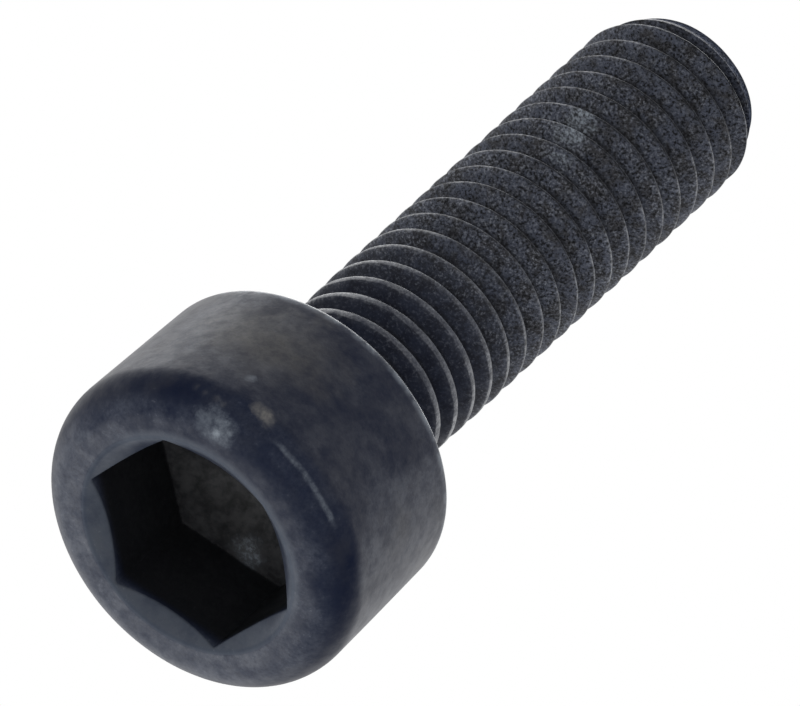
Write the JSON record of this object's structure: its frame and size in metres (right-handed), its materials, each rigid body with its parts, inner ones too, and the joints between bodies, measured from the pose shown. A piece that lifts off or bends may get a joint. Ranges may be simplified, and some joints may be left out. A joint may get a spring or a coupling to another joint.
{
  "type": "clamp bolt",
  "caption": "Short steel bolt with a round hexagon-socket head and thread up to the head, in worn black oxide; it pulls a split clamp closed.",
  "frame": {"origin": "centre of the head's face, on which the bolt stands", "axes": "+Z along the bolt, from the head's face to the tip; +X through a corner of the hexagon socket"},
  "size_m": [0.009, 0.009, 0.0229],
  "materials": {
    "black_oxide_steel": "satin black oxide, blue-black, worn grey on the thread's crests and the head's edges"
  },
  "bodies": {
    "root": {"clamp_bolt": "black_oxide_steel"}
  },
  "joints": []
}
